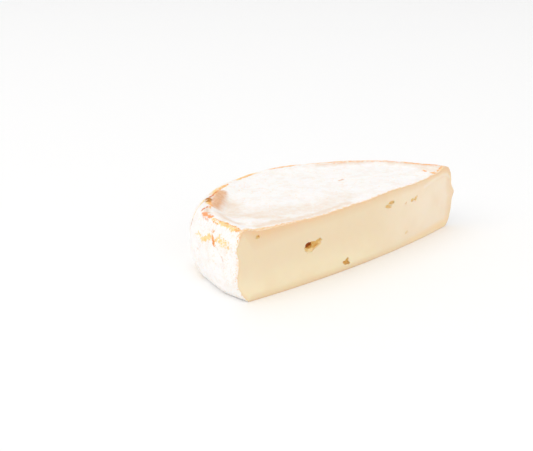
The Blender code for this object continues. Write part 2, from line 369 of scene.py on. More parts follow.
# The cut's own grid: two close rings inside its edge, and a sheet stretched over the rest
def makeCutSheet(skin, loop):
    count, corner = len(loop), rows["corner"]
    edge = skin[loop]
    inward = inwardFrom(edge)
    parts = [skin]
    rings = [edge + inward * step for step in ringSteps]
    for ring in rings:
        ring[:, 1] = cutFace(ring[:, 0], ring[:, 2])
    ringIndex = [addPoints(parts, ring) for ring in rings]
    skin[loop] = edge + (inward + np.array((0.0, 1.0, 0.0))) * paste["edgeRound"]

    across = rows["round"] + 2 * corner
    down = rows["side"] - 2 * corner
    order = np.arange(count)
    topLine = np.roll(order, corner)[: across + 1]
    leftLine = np.roll(order, corner - across)[: down + 1]
    footLine = np.roll(order, corner - across - down)[: across + 1][::-1]
    rightLine = np.roll(order, corner - 2 * across - down)[: down + 1][::-1]
    ring = rings[-1]
    p = (runShares(ring[topLine]) + runShares(ring[footLine]))[:, None, None] / 2
    q = (runShares(ring[rightLine]) + runShares(ring[leftLine]))[None, :, None] / 2
    top, foot = ring[topLine][:, None], ring[footLine][:, None]
    right, left = ring[rightLine][None], ring[leftLine][None]
    corners = (1 - p) * ((1 - q) * top[0] + q * foot[0]) + p * ((1 - q) * top[-1] + q * foot[-1])
    sheet = (1 - q) * top + q * foot + (1 - p) * right + p * left - corners
    sheet = sheet[1:-1, 1:-1]
    sheet[..., 1] = cutFace(sheet[..., 0], sheet[..., 2])
    index = np.empty((across + 1, down + 1), int)
    index[1:-1, 1:-1] = addPoints(parts, sheet)
    index[:, 0], index[:, -1] = ringIndex[-1][topLine], ringIndex[-1][footLine]
    index[0], index[-1] = ringIndex[-1][rightLine], ringIndex[-1][leftLine]
    bands = [np.append(line, line[0]) for line in (loop, *ringIndex)]
    faces = quads(index)
    for outer, inner in zip(bands, bands[1:]):
        faces += quads(np.stack([outer, inner]))
    return np.concatenate(parts), faces


def baseHeightAt(x, y):
    return np.zeros(np.shape(x))


def makeSkin():
    parts = []
    shares = evenShares(rows["round"], rindLength, closeSteps)
    side, sideIndex = makeSide(parts, shares)
    topIndex = makeFan(parts, side[:, 0], sideIndex[:, 0], shares, rows["top"], topHeightAt)
    baseIndex = makeFan(parts, side[:, -1], sideIndex[:, -1], shares, rows["base"], baseHeightAt)
    skin = np.concatenate(parts)
    # the edge of the cut: along the top, down the left end, back along the foot, up the right end
    loop = np.concatenate([
        topIndex[:-1, 0], sideIndex[-1, :-1], baseIndex[:0:-1, 0], sideIndex[0, :0:-1],
    ])
    crumble(skin, loop)
    skin, cutFaces = makeCutSheet(skin, loop)
    rindFaces = quads(sideIndex) + quads(topIndex) + quads(baseIndex)
    return skin, rindFaces, cutFaces, loop


def nearestOn(line, spots, reach):
    tree = KDTree(len(line))
    for index, spot in enumerate(line.tolist()):
        tree.insert(spot, index)
    tree.balance()
    found = [tree.find(spot) for spot in spots.tolist()]
    distance = np.array([item[2] for item in found])
    return np.minimum(distance, reach), np.array([item[1] for item in found])


# Moves the rind in and out along the edge of the cut, more so at the left end
def crumble(skin, loop):
    edge = skin[loop]
    inward = inwardFrom(edge)
    distance, nearest = nearestOn(edge, skin, farAway)
    farthest, lowest = rind["crumbleEnd"]
    close = np.flatnonzero((distance < farthest) & (skin[:, 2] > lowest))
    spots = skin[close]
    bits = noiseAt(spots, rind["crumbleSize"], (5.5, 1.7, 3.3))
    bits += 0.5 * noiseAt(spots, rind["crumbleFine"], (2.5, 6.7, 8.3))
    (leftStart, leftFade), (topEnd, topFade) = rind["crumbleLeft"], rind["crumbleTop"]
    atLeft = eased((leftStart - spots[:, 0]) / leftFade) * eased((topEnd - spots[:, 2]) / topFade)
    depth = rind["crumbleDepth"] + (rind["crumbleAtLeft"] - rind["crumbleDepth"]) * atLeft
    depth = depth * bits * bell(distance[close], rind["crumbleReach"])
    depth *= eased(spots[:, 2] / rind["fineFoot"])
    skin[close] -= inward[nearest[close]] * depth[:, None]


def meshFrom(name, points, faces, materials, materialIndex):
    mesh = bpy.data.meshes.new(name)
    mesh.from_pydata(points.tolist(), [], faces)
    for material in materials:
        mesh.materials.append(material)
    mesh.polygons.foreach_set("material_index", materialIndex)
    work = bmesh.new()
    work.from_mesh(mesh)
    bmesh.ops.recalc_face_normals(work, faces=list(work.faces))
    work.to_mesh(mesh)
    work.free()
    mesh.update()
    return mesh


def readVectors(items, field):
    values = np.empty(len(items) * 3)
    items.foreach_get(field, values)
    return values.reshape(-1, 3)


def fromLine(spots, line):
    nearest = np.full(len(spots), np.inf)
    for start, end in zip(line, line[1:]):
        start, run = np.array(start, float), np.array(end, float) - np.array(start, float)
        share = np.clip(((spots - start) @ run) / (run @ run), 0.0, 1.0)
        nearest = np.minimum(nearest, np.linalg.norm(spots - start - share[:, None] * run, axis=1))
    return nearest


def onRim(degrees):
    degrees = np.array(degrees, float)
    return sidePoint(degrees, np.full(degrees.shape, rimTurn))


# A strip along the ridge in the paste, or this far above it, as seen from the front
def alongRidge(points, above, halfWidth):
    line = [(x, 0.0, z + above) for x, z in paste["ridge"]]
    return bell(fromLine(place(points[:, 0], 0.0, points[:, 2]), line), halfWidth)


# Fine relief along each point's own normal
def roughen(mesh, onPaste, edge):
    points = readVectors(mesh.vertices, "co")
    normals = readVectors(mesh.vertex_normals, "vector")
    radius = np.hypot(points[:, 0], points[:, 1])
    angle = np.arctan2(points[:, 1], points[:, 0])
    unrolled = place(angle * radius / rind["wrinkleWidth"], 3.3, points[:, 2] / rind["wrinkleLength"])
    flatFrom, fade = rind["wrinkleEnd"]
    upright = eased((flatFrom - np.abs(normals[:, 2])) / fade)
    relief = rind["wrinkleDepth"] * upright * noiseAt(unrolled, 1.0, (0.0, 0.0, 0.0))
    relief += rind["grainDepth"] * noiseAt(points, rind["grainSize"], (7.1, 2.2, 4.4))
    relief *= eased(points[:, 2] / rind["fineFoot"])
    for line, halfWidth, depth in creases.values():
        pressed = onSide(*np.array(line).T)
        relief -= depth * bell(fromLine(points, pressed), halfWidth)
    wornRim = fromLine(points, onRim(rind["ruggedRim"]))
    rugged = noiseAt(points, rind["ruggedSize"], (3.7, 9.1, 0.6))
    relief += rind["ruggedDepth"] * np.abs(rugged) * bell(wornRim, rind["ruggedReach"])
    fromEdge = nearestOn(edge, points, farAway)[0]
    soft = paste["softDepth"] * noiseAt(points, paste["softSize"], (1.9, 5.1, 0.4))
    soft += paste["ridgeHeight"] * alongRidge(points, 0.0, paste["ridgeWidth"])
    softFrom, softFade = paste["softEdge"]
    relief = np.where(onPaste, soft * eased((fromEdge - softFrom) / softFade), relief)
    points += normals * relief[:, None]
    mesh.vertices.foreach_set("co", points.ravel())
    mesh.update()


def solidFrom(name, shape, material):
    mesh = bpy.data.meshes.new(name)
    shape.to_mesh(mesh)
    shape.free()
    mesh.materials.append(material)
    return bpy.data.objects.new(name, mesh)


def makeHollow(name, halfSizes, placing, material):
    shape = bmesh.new()
    bmesh.ops.create_icosphere(shape, subdivisions=4, radius=1.0)
    shift = Vector((len(name), halfSizes[0], 0.5))
    for vertex in shape.verts:
        uneven = 1.0 + eyeWalls["uneven"] * noise.noise(vertex.co * eyeWalls["unevenScale"] + shift)
        uneven += eyeWalls["ragged"] * noise.noise(vertex.co * eyeWalls["raggedScale"] + shift)
        vertex.co = Vector([part * half * uneven for part, half in zip(vertex.co, halfSizes)])
    bmesh.ops.transform(shape, matrix=placing, verts=list(shape.verts))
    return solidFrom(name, shape, material)


# The side's surface at this angle and height
def onSide(degrees, z):
    degrees, z = np.asarray(degrees, float), np.asarray(z, float)
    middle = wheel["widestHeight"]
    rise = np.where(z > middle, roundWheel(wheel["crestHeight"], degrees) - middle, middle)
    return sidePoint(degrees, np.degrees(np.arcsin(np.clip((z - middle) / rise, -1.0, 1.0))))


# A thin wedge that follows a line on the side, for a split
def makeSplit(name, split, material):
    line, halfWidth, depth = split
    line = np.array(line)
    run = runShares(onSide(line[:, 0], line[:, 1]))
    steps = np.linspace(0.0, 1.0, splitShape["steps"])
    spots = onSide(np.interp(steps, run, line[:, 0]), np.interp(steps, run, line[:, 1]))
    outward = spots * np.array((1.0, 1.0, 0.0))
    outward /= np.linalg.norm(outward, axis=1)[:, None]
    along = np.gradient(spots, axis=0)
    across = np.cross(outward, along)
    across /= np.linalg.norm(across, axis=1)[:, None]
    end = splitShape["endShare"]
    taper = np.sqrt(np.maximum(np.sin(math.pi * (end + (1 - 2 * end) * steps)), 0.0))
    waver = noiseAt(place(steps * splitShape["waverScale"], 0.0, len(name)), 1.0, (0.3, 0.2, 0.5))
    width = halfWidth * taper * (1 + splitShape["waver"] * waver)
    shape = bmesh.new()
    rings = []
    for spot, side, out, half, deep in zip(spots, across, outward, width, depth * taper):
        walls = [
            side * half * wide + out * (deep * down + lift)
            for wide, down, lift in splitShape["walls"]
        ]
        rings.append([shape.verts.new(spot + wall) for wall in walls])
    for before, after in zip(rings, rings[1:]):
        for index in range(len(before)):
            shape.faces.new((before[index - 1], before[index], after[index], after[index - 1]))
    shape.faces.new(rings[0])
    shape.faces.new(rings[-1])
    bmesh.ops.recalc_face_normals(shape, faces=list(shape.faces))
    return solidFrom(name, shape, material)


def makeHollows(pasteSkin, splitSkin):
    hollows = []
    for name, (x, z, halfAlong, halfUp, halfIn, lean) in eyes.items():
        turned = Matrix.Rotation(math.radians(-lean), 4, "Y")
        placing = Matrix.Translation((x, float(cutPlace(x)), z)) @ turned
        hollows.append(makeHollow(name, (halfAlong, halfIn, halfUp), placing, pasteSkin))
    for name, split in splits.items():
        hollows.append(makeSplit(name, split, splitSkin))
    return hollows


def cutHollows(piece, hollows):
    group = bpy.data.collections.new("hollows")
    bpy.context.scene.collection.children.link(group)
    for hollow in hollows:
        group.objects.link(hollow)
    carve = piece.modifiers.new("carve", "BOOLEAN")
    carve.operation = "DIFFERENCE"
    carve.solver = "EXACT"
    carve.material_mode = "TRANSFER"
    carve.operand_type = "COLLECTION"
    carve.collection = group
    graph = bpy.context.evaluated_depsgraph_get()
    carved = bpy.data.meshes.new_from_object(piece.evaluated_get(graph))
    piece.modifiers.clear()
    piece.data = carved
    for hollow in hollows:
        bpy.data.objects.remove(hollow, do_unlink=True)
    bpy.data.collections.remove(group)


# Marks on the rind: its own stains, worn spots and coloured patches, and painted shade in the hollow by
# the left rim, along some creases and over the left of the top. Each is a half width, a strength and a
# line of points in x, y and z.
marks = {}
# Beige patches. The bands along the right and back rim are the rind's own pinkish tone. The patch
# beside the hollow is painted shade, and the patches over the left, front and middle of the top are
# partly the rind's own beige and partly a painted cast shadow.
marks["beigeAndShade"] = {
    "besideHollow": (6.5, 0.75, (-41, 43, 28.2), (-46.5, 35, 28.2)),
    "leftMiddle": (5.2, 0.75, (-50.5, 30, 28.4), (-46.5, 22, 28.2), (-41.5, 15.5, 28.3)),
    "insideRim": (3.2, 0.8, (-58, 31, 29.4), (-61.5, 24, 29.8), (-60, 18.5, 29.2)),
    "leftBroad": (9.5, 0.6, (-52, 30, 28.5), (-36, 20, 28.2), (-16, 12, 28.2)),
    "leftFront": (3.6, 0.8, (-55.5, 11.6, 28.8), (-46.7, 10.4, 28.5), (-39.3, 9, 28.3)),
    "middleFront": (2.8, 0.85, (-39.3, 8, 28.3), (-22, 7, 28.2), (-6, 7, 28.2)),
    "besideNick": (1.9, 0.8, (-57.8, 38.4, 30.8), (-60.4, 36.2, 30.9), (-62.2, 33.6, 30.6)),
    "rightBand": (3, 0.75, (66, 9.5, 30.5), (64, 20.5, 30.2), (57.4, 33, 30.2)),
    "behindDashes": (3.2, 0.7, (62.5, 9.5, 29.8), (61.5, 16.5, 29.9)),
    "backBand": (2.8, 0.7, (51.4, 40.5, 30.1), (42.8, 47.6, 30), (30, 55.6, 29.8)),
    "middle": (7, 0.55, (-30, 22, 28.2), (-12, 14, 28.2), (2, 14, 28.4)),
}
marks["freckles"] = {
    "lowLeft": (3.6, 0.2, (-70.8, 8.6, 19.5), (-71.2, 8.4, 14)),
    "underBand": (2.2, 0.7, (-69.2, 15, 28), (-69, 9, 28.4)),
    "besideSplit": (3, 0.8, (-69.8, 19, 24), (-70.4, 13.5, 23)),
    "splitAbove": (2.5, 0.7, (-66.6, 29.5, 24.6), (-68.4, 23.5, 26.4)),
    "farSide": (2.4, 0.6, (-65, 37.5, 19.5), (-66.6, 32.5, 18.5)),
    "hollow": (5, 0.6, (-44, 46, 30), (-52, 38, 29.6)),
}
# Painted shade: a soft brownish-pink shadow in the hollow inside the left rim
marks["hollowShade"] = {
    "hollowBack": (3.4, 1, (-36.4, 54, 30.2), (-43, 48, 30.1), (-46.8, 44.8, 30.1)),
    "hollowFront": (3, 0.95, (-46.8, 44.8, 30.1), (-50.2, 41.8, 30), (-52.6, 40.2, 30)),
}
marks["blush"] = {
    "topFleck": (1, 0.85, (18.3, 31.9, 28.8), (21, 32.2, 28.9)),
    "besideSalmon": (0.9, 0.5, (-59.6, 37.4, 30.9), (-61.6, 35, 30.9)),
    "belowRim": (1.2, 0.5, (-62.8, 36.4, 29.4), (-65.6, 30, 29.2)),
    "smallLow": (0.7, 0.5, (-64.9, 38.2, 14.4), (-65.3, 37, 15.2)),
    # painted crease shade: a pinkish-grey line down the crease below the split
    "underSplit": (0.5, 0.7, (-69.5, 21, 20.2), (-70.2, 18.9, 19), (-70.7, 17.3, 17.9),
        (-70.9, 16.2, 16.1)),
}
marks["ochre"] = {
    "leftBand": (1.55, 1, (-66.6, 22, 30.4), (-67.2, 17.6, 30.3), (-67.6, 14.6, 30.2),
        (-67.9, 12, 30.1)),
    "besideMould": (1.2, 0.9, (-49.6, 47.4, 30.6), (-53.2, 43.2, 30.7)),
    "edgeAtLeft": (1.3, 0.75, (-66.8, 8.8, 29.7), (-62, 8.8, 29.3), (-56, 8, 28.8)),
    "leftShine": (0.9, 0.8, (-64.9, 30, 30.4), (-66.4, 24.6, 30.3)),
    "splitFar": (0.8, 0.85, (-64.6, 39.1, 21), (-65.2, 36.6, 21.8), (-65.9, 34.2, 20.9)),
    "splitLeft": (1.2, 1, (-66.4, 33, 20.6), (-67.3, 30.2, 21.9), (-68.3, 26, 23.2)),
    "splitAbove": (0.8, 0.85, (-67.6, 28.6, 23.4), (-68.2, 26, 24.4)),
    "splitRight": (1.1, 0.95, (-69.3, 22.6, 23.2), (-69.5, 20.2, 24.8), (-69.6, 19.2, 25.5)),
    "splitRightLow": (2.1, 0.7, (-69.9, 18.6, 24.4), (-70.3, 15.4, 23.8), (-70.4, 13.6, 22.8)),
    "farShoulder": (1, 0.85, (-60.2, 46.4, 21.5), (-60, 45.8, 25), (-58.4, 46.1, 26.9),
        (-55.7, 47.2, 28.5), (-52.3, 49.1, 29.2), (-48.4, 51, 29.8)),
}
marks["orange"] = {
    "leftHigh": (0.5, 0.85, (-45, 50.8, 30.6), (-39.6, 54.2, 30.4), (-34.9, 57, 30.2)),
    "underMould": (0.9, 1, (-50.8, 45.2, 30.7), (-53.6, 42, 30.8), (-55, 40.2, 30.9)),
    "insideNick": (0.7, 0.8, (-55.6, 39.6, 30.8), (-57.6, 37.2, 30.8)),
    "leftLine": (0.55, 0.9, (-64.8, 28.4, 30.6), (-65.2, 25.6, 30.6), (-65.6, 22.6, 30.6),
        (-65.7, 19.7, 30.5), (-65.8, 16.6, 30.4), (-66.2, 13.4, 30.3), (-67, 10.9, 30.1)),
    "leftUnder": (0.6, 0.85, (-66.6, 26.4, 30), (-67.6, 22.4, 29.8)),
    "edgeAtLeft": (1.3, 0.75, (-66.6, 7.9, 29.7), (-62, 7.6, 29.3), (-56, 6.8, 28.8), (-48, 5.8, 28.4)),
    "cutCorner": (1, 1, (-68, 11, 29.8), (-67.8, 8.6, 29.8), (-66, 7.6, 29.6)),
    "splitLips": (0.55, 0.9, (-68.3, 25.2, 25.8), (-68.8, 23.9, 23), (-69.3, 22.4, 20.2)),
    "splitTip": (0.5, 0.9, (-68.4, 24.6, 26.9), (-68.5, 24.9, 25.6)),
    "rightEndTip": (1.2, 1, (70.2, 8.2, 29.8), (66.8, 8.6, 30.6), (63, 8, 30.1)),
    "rightNear": (1.3, 1, (69.6, 10.4, 30.3), (68, 14.4, 30.4), (66.8, 18, 30.3)),
    "rightFar": (1.2, 1, (65.6, 21.5, 30.3), (62.8, 27.4, 30.3)),
    "rightBack": (0.7, 0.9, (58, 35, 30.3), (53, 41.2, 30.2)),
    "backNear": (0.7, 0.8, (50.5, 43.8, 30.2), (44.5, 48.6, 30.1), (38, 52.8, 30)),
    "dashOne": (1.5, 1, (60.2, 6.6, 28.7), (59.2, 7.6, 29.1), (59.4, 8.8, 29.2)),
    "dashTwo": (0.9, 0.8, (59.1, 12.4, 29.1), (60, 15.2, 29.2)),
}
marks["salmon"] = {
    "leftPatch": (1.1, 1, (-62.6, 36, 30.3), (-63.6, 33.8, 30.4), (-64.4, 31.4, 30.4),
        (-65, 29, 30.5)),
    "rimRight": (1.6, 0.5, (66.8, 13, 30.4), (62.2, 27.6, 30.3), (57, 35.8, 30.2)),
    "rimBack": (1.7, 0.4, (53, 40.8, 30.2), (43.8, 48.4, 30), (30.6, 56.4, 29.8)),
    "patchFoot": (0.8, 0.7, (-64.8, 33.4, 29.2), (-65.6, 30.2, 29.3)),
}
marks["rust"] = {
    "rimNick": (0.6, 1, (-61.5, 38.3, 30.4), (-60, 38.6, 30.9), (-58.6, 39, 30.9)),
    "rimNickHigh": (0.7, 1, (-57.6, 39.3, 30.9), (-56, 39.8, 30.8)),
    "leftHigh": (0.6, 0.9, (-46.3, 49.8, 30.6), (-41.6, 52.9, 30.4), (-36, 56.4, 30.2)),
}
marks["mould"] = {
    "leftSpot": (1.5, 1, (-47, 50.4, 30.3), (-49, 48, 30.6), (-50.2, 46.4, 30.6)),
    "leftFringe": (0.9, 0.65, (-50, 49, 29.8), (-52.2, 48.2, 29.6)),
    "farEdgeSpot": (0.9, 0.8, (-60, 45.7, 24.6), (-60.6, 45.8, 22.9)),
}

# The same for the side that faces away, with each point as degrees round the wheel and height
backMarks = {}
backMarks["ochre"] = (
    (1.3, 1, (128, 31), (121, 30), (114, 31)), (1.2, 1, (104, 31), (97, 29.6), (91, 31)),
    (1.3, 0.9, (79, 29.4), (72, 31)), (1, 0.9, (52, 31), (45, 29.4), (40, 30.2)),
    (1, 0.8, (30, 29), (24, 31)), (1.5, 0.9, (105, 18.5), (101.5, 20.5), (98, 20.5)),
    (1.3, 0.7, (95.5, 17.5), (93.5, 19.5), (90.5, 20)),
    (1.5, 0.6, (121, 13), (117.5, 11), (116, 8)), (1, 0.7, (113, 10), (110, 11.5)),
    (1.2, 0.7, (79, 25), (76, 22.5), (75.5, 19.5)), (1.6, 0.6, (60, 18), (56.5, 15.5), (55.5, 12)),
    (0.9, 0.75, (53, 17), (50, 18)), (1, 0.7, (33, 20), (30, 22)),
    (0.9, 0.9, (112, 1.2), (104, 2), (98, 1.2)), (0.9, 0.9, (66, 1.4), (58, 2), (51, 1.2)),
    (0.9, 0.8, (146, 1.2), (138, 2), (131, 1.4)),
)
backMarks["orange"] = (
    (0.7, 1, (126, 31), (119, 31), (112, 30.6)), (0.6, 1, (103, 31), (95, 30.8)),
    (0.8, 1, (83, 31), (76, 30.4), (69, 31)), (0.6, 0.9, (55, 31), (47, 31), (41, 30.6)),
    (0.6, 0.9, (97.9, 21.6), (97.3, 19.4), (97.6, 17.2), (96.9, 15.2)),
    (0.5, 0.9, (110, 0.8), (101, 1)),
)
# The first two lines run down a pleat and a crease: painted crease shade. The two broad patches are the
# rind's own pink.
backMarks["blush"] = (
    (0.4, 0.8, (84, 25), (84.6, 20), (84, 15)), (0.5, 0.7, (96.9, 15), (98.4, 11), (97.2, 7)),
    (3, 0.4, (128, 14), (124, 19)), (3, 0.4, (66, 9), (62, 13)),
)
backMarks["freckles"] = (
    (5, 1, (102, 20), (92, 19)), (4, 0.8, (128, 28), (110, 28)), (4, 0.8, (82, 28), (68, 28)),
    (4, 0.8, (60, 14), (50, 16)), (4, 0.7, (122, 9), (112, 11)),
)
markWarp = {"size": 2.2, "depth": 0.7}
markShift = {"size": 0.9, "depth": 0.35}

# The worn line round the crest at the back, by degrees, and the noise that makes it come and go
rimLine = {
    "reach": 1.5, "start": (4.0, 8.0), "end": (134.0, 10.0), "outward": 1.0,
    "strayBy": 1.1, "straySize": 9.0, "share": 0.75, "uneven": 0.9, "unevenSize": 13.0,
}
# The painted highlight on the paste: a pale line this far above the ridge, and its half width
paintedSheenLine = {"above": 0.5, "halfWidth": 0.8}
skinDepth = 0.12  # this near the cut's surface nothing counts as an eye

# How the edge of the cut looks. Each station is a place along it (x, or z at the two ends), how
# strong the line of rind is, how far it reaches over the rind, the width, strength and crispness
# of the darker band on the paste, and how much that band glows.
edgeLooks = {
    "top": (
        (-69, 0.75, 3.4, 5, 0.75, 1, 0), (-62, 0.9, 3.8, 8.5, 1, 1, 0),
        (-46, 0.85, 3.4, 6, 1, 1, 0), (-34, 0.65, 2.6, 4.6, 0.9, 1, 0),
        (5, 0.5, 1.6, 4.2, 0.85, 1, 0), (45, 0.45, 1.4, 3.4, 0.7, 1, 0),
        (58, 0.65, 1.8, 3.8, 0.85, 1.2, 0.5), (68, 0.85, 2.4, 5.6, 1.05, 1.4, 0.4),
    ),
    "leftEnd": (
        (0, 0.3, 1, 2, 0.5, 1, 0), (6, 0.3, 2, 1.2, 0.2, 1, 0),
        (26, 0.35, 2, 1.2, 0.2, 1, 0), (29, 0.7, 3, 3, 0.9, 1, 0),
    ),
    "foot": (
        (-69, 0.7, 0.8, 3.2, 0.75, 1, 0.3), (0, 0.75, 0.8, 3, 0.9, 1, 0.3),
        (28, 0.6, 0.8, 2.8, 0.7, 1, 0.5), (38, 0.6, 0.8, 3.8, 0.75, 2, 1),
        (64, 0.6, 0.8, 5, 0.9, 2.6, 1),
    ),
    "rightEnd": (
        (0, 0.2, 0.8, 5, 0.9, 2.6, 1), (4, 0, 0.5, 6.5, 0.55, 2.2, 0.2),
        (24, 0, 0.5, 7, 0.55, 2.2, 0.2), (27, 0.2, 1.4, 5.5, 0.95, 1.6, 0.4),
        (30, 0.8, 2.4, 5.6, 1.05, 1.4, 0.4),
    ),
}


# Moves the places that are painted by two sizes of noise, so that no mark has a smooth edge
def warped(points):
    moved = points.copy()
    for step, warp in enumerate((markWarp, markWarp, markWarp, markShift, markShift, markShift)):
        shift = noiseAt(points, warp["size"], (4.4 * step, 2.8, 9.6 - step))
        moved[:, step % 3] += warp["depth"] * shift
    return moved


def edgeTones(edge):
    counts = (rows["round"], rows["side"], rows["round"])
    tones = []
    for name, stretch in zip(edgeLooks, np.split(edge, np.cumsum(counts))):
        stations = np.array(edgeLooks[name]).T
        along = stretch[:, 2 if name.endswith("End") else 0]
        tones.append(np.stack([np.interp(along, stations[0], column) for column in stations[1:]]))
    tones = np.concatenate(tones, axis=1)
    shifts = range(-edgeBlur, edgeBlur + 1)
    return sum(np.roll(tones, shift, axis=1) for shift in shifts) / len(shifts)


def markLines(kind):
    lines = [(halfWidth, share, line) for halfWidth, share, *line in marks[kind].values()]
    for halfWidth, share, *line in backMarks.get(kind, ()):
        lines.append((halfWidth, share, onSide(*np.array(line, float).T)))
    return lines


def paintMarks(mesh, edge):
    points = readVectors(mesh.vertices, "co")
    moved = warped(points)
    for kind in marks:
        strength = np.zeros(len(points))
        for halfWidth, share, line in markLines(kind):
            strength = np.maximum(strength, share * bell(fromLine(moved, line), halfWidth))
        addNumbers(mesh, kind, strength)
    fine = [edge + (np.roll(edge, -1, axis=0) - edge) * step for step in edgeQuarters]
    fromEdge, nearest = nearestOn(np.concatenate(fine), points, farAway)
    lineTone, lineReach, bandWidth, bandTone, crisp, glow = edgeTones(edge)[:, nearest % len(edge)]
    inside = points[:, 1] - cutFace(points[:, 0], points[:, 2])
    layers = {
        "fromEdge": fromEdge,
        "edgeTone": lineTone,
        "edgeStripe": lineTone * np.clip(1 - fromEdge / lineReach, 0.0, 1.0),
        "edgeBand": bandTone * (1 - np.clip(fromEdge / bandWidth, 0.0, 1.0) ** crisp),
        "edgeGlow": glow,
        # painted highlight just above the ridge
        "paintedSheen": alongRidge(points, paintedSheenLine["above"], paintedSheenLine["halfWidth"]),
        "depthIn": np.maximum(inside - skinDepth, 0.0),
        "rimLine": rimStrength(points, moved),
    }
    for name, values in layers.items():
        addNumbers(mesh, name, values)


def rimStrength(points, moved):
    degrees = np.degrees(np.arctan2(points[:, 1], points[:, 0]))
    stray = noiseAt(points, rimLine["straySize"], (6.2, 3.4, 1.1))
    strayed = moved + rimLine["strayBy"] * stray[:, None]
    crest = crestRadius(degrees) + rimLine["outward"]
    above = strayed[:, 2] - roundWheel(wheel["crestHeight"], degrees)
    fromCrest = np.hypot(np.hypot(strayed[:, 0], strayed[:, 1]) - crest, above)
    (start, startFade), (end, endFade) = rimLine["start"], rimLine["end"]
    backOnly = eased((degrees - start) / startFade) * eased((end - degrees) / endFade)
    uneven = rimLine["uneven"] * noiseAt(points, rimLine["unevenSize"], (2.3, 6.1, 4.9))
    return bell(fromCrest, rimLine["reach"]) * backOnly * (rimLine["share"] + uneven)


def addNumbers(mesh, name, values):
    layer = mesh.attributes.new(name, "FLOAT", "POINT")
    layer.data.foreach_set("value", values.astype(np.float32))


def tint(red, green, blue):
    shares = np.array((red, green, blue)) / 255
    shares = np.where(shares <= 0.04045, shares / 12.92, ((shares + 0.055) / 1.055) ** 2.4)
    return shares.tolist() + [1.0]


def addNode(tree, kind, inputs, **settings):
    made = tree.nodes.new("ShaderNode" + kind)
    for name, value in settings.items():
        setattr(made, name, value)
    for key, value in inputs.items():
        feed(tree, made.inputs[key], value)
    return made


# A socket takes either another node's output or a value
def feed(tree, socket, value):
    if isinstance(value, bpy.types.NodeSocket):
        tree.links.new(value, socket)
    else:
        socket.default_value = value


def newSurface(name):
    surface = bpy.data.materials.new(name)
    surface.use_nodes = True
    return surface, surface.node_tree, surface.node_tree.nodes["Principled BSDF"]


def blend(tree, share, under, over):
    mixing = addNode(tree, "Mix", {"Factor": share}, data_type="RGBA")
    for socket, value in ((mixing.inputs[6], under), (mixing.inputs[7], over)):
        feed(tree, socket, tint(*value) if isinstance(value, tuple) else value)
    return mixing.outputs[2]


def number(tree, name):
    return addNode(tree, "Attribute", {}, attribute_name=name).outputs["Fac"]


def sums(tree, operation, first, second):
    return addNode(tree, "Math", {0: first, 1: second}, operation=operation).outputs[0]


def times(tree, first, second):
    return sums(tree, "MULTIPLY", first, second)


# Noise by the size of its flecks in millimetres, in the piece's own coordinates
def flecks(tree, size, detail=3.0, rough=0.55, shift=(0, 0, 0)):
    where = addNode(tree, "TexCoord", {}).outputs["Object"]
    moved = addNode(tree, "Mapping", {"Vector": where, "Location": shift}).outputs[0]
    inputs = {"Vector": moved, "Scale": 1 / (size * mm), "Detail": detail, "Roughness": rough}
    return addNode(tree, "TexNoise", inputs).outputs["Fac"]


def between(tree, value, low, high, curve="SMOOTHSTEP"):
    inputs = {"Value": value, "From Min": low, "From Max": high}
    return addNode(tree, "MapRange", inputs, interpolation_type=curve).outputs["Result"]


# Noise of this size, detail and roughness, and the range of it that shows
def pattern(tree, size, detail, rough, low, high, shift=(0, 0, 0)):
    return between(tree, flecks(tree, size, detail, rough, shift), low, high)


# A painted mark whose edge is broken up by noise, and that stays within its own faint outskirts
def worn(tree, name, size, breakUp, low, high):
    mark = number(tree, name)
    grain = times(tree, sums(tree, "SUBTRACT", flecks(tree, size), 0.5), breakUp)
    share = between(tree, sums(tree, "ADD", mark, grain), low, high)
    return times(tree, share, between(tree, mark, *markOutskirts))


def finishSurface(tree, shader, colour, body):
    low, high = body["dull"]
    dull = {"Value": flecks(tree, body["dullSize"]), "To Min": low, "To Max": high}
    powder = {
        "Height": flecks(tree, *body["powder"]),
        "Strength": body["powderStrength"],
        "Distance": body["powderDepth"] * mm,
    }
    values = {
        "Base Color": colour,
        "Roughness": addNode(tree, "MapRange", dull).outputs[0],
        "Specular IOR Level": body["shine"],
        "Subsurface Weight": body["glow"],
        "Subsurface Radius": body["glowTint"],
        "Subsurface Scale": body["glowDepth"] * mm,
        "Normal": addNode(tree, "Bump", powder).outputs[0],
    }
    for name, value in values.items():
        feed(tree, shader.inputs[name], value)


rindLooks = {
    "bloom": (253, 251, 249),
    "smudge": (247, 239, 232),
    "speckle": (249, 218, 182),
    "orange": (251, 194, 128), "orangeDeep": (244, 168, 98),
    "ochre": (253, 224, 164), "ochreDeep": (252, 210, 140),
    "salmon": (250, 178, 130), "salmonDeep": (248, 162, 110),
    "rust": (234, 148, 104), "rustDeep": (222, 126, 82),
    # partly the rind's own beige, partly painted shade
    "beigeAndShade": (240, 220, 200),
    # painted shade in the hollow inside the left rim
    "hollowShade": (236, 190, 152), "hollowShadeDeep": (226, 176, 138),
    "blush": (231, 182, 144), "blushDeep": (222, 168, 130),
    "mould": (202, 136, 62), "mouldDeep": (180, 118, 52),
    "edge": (244, 202, 152),
    "edgePale": (251, 225, 196),
}
# mark, size of the bits that break it up, how much they do, and where its edge starts and ends
rindMarks = (
    # beige patches, partly painted shade
    ("beigeAndShade", 3, 0.8, 0.1, 1.1),
    # the hollow's painted shade, with soft edges
    ("hollowShade", 4, 0.45, 0.1, 0.9),
    ("blush", 1.6, 0.9, 0.12, 0.95),
    ("ochre", 0.85, 2.3, 0.32, 0.75),
    ("salmon", 0.85, 1.7, 0.28, 0.75),
    ("orange", 0.75, 2, 0.32, 0.75),
    ("rust", 0.7, 1.2, 0.3, 0.75),
    ("mould", 0.9, 0.9, 0.22, 0.8),
)
markOutskirts = (0.02, 0.16)
rimLineWear = (1.4, 1.8, 0.3, 1.0)  # these two as in rindMarks
edgeWear = (0.8, 1.9, 0.15, 0.6)
